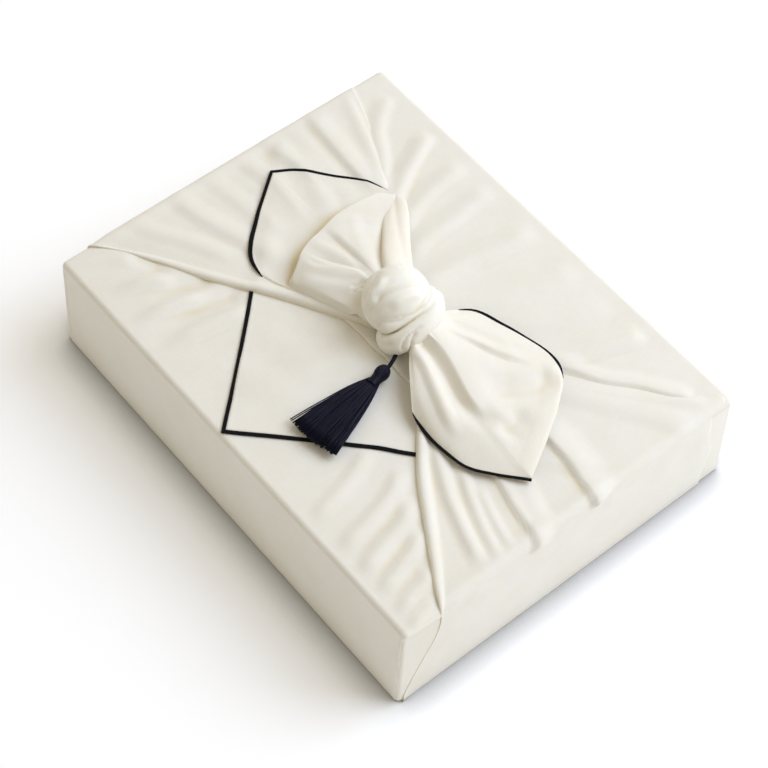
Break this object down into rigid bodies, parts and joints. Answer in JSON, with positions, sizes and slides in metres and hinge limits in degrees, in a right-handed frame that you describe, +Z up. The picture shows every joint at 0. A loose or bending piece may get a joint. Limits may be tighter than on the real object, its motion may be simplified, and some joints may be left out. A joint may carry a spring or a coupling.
{
  "type": "furoshiki wrap on a gift box",
  "caption": "Cream wrapping cloth folded round a flat gift box and knotted on top, with dark bound edges, spread tails and a tassel hanging from the knot.",
  "frame": {"origin": "middle of the underside, on the surface the parcel stands on", "axes": "+X along the parcel's long side, towards the wider spread tail; +Y across it, away from the tassel; +Z up"},
  "size_m": [0.3625, 0.277, 0.135],
  "materials": {
    "cloth": "soft matt plain weave, cream",
    "binding": "matt dark navy binding",
    "tassel": "silky dark navy thread",
    "card": "plain uncoated card"
  },
  "bodies": {
    "root": {"cloth": "cloth", "binding_far_flap": "binding", "binding_left_tail": "binding", "binding_right_tail_upper": "binding", "binding_right_tail_lower": "binding", "tassel_cord": "tassel", "tassel_head": "tassel", "tassel_neck": "tassel", "tassel_skirt": "tassel", "box": "card"}
  },
  "joints": []
}
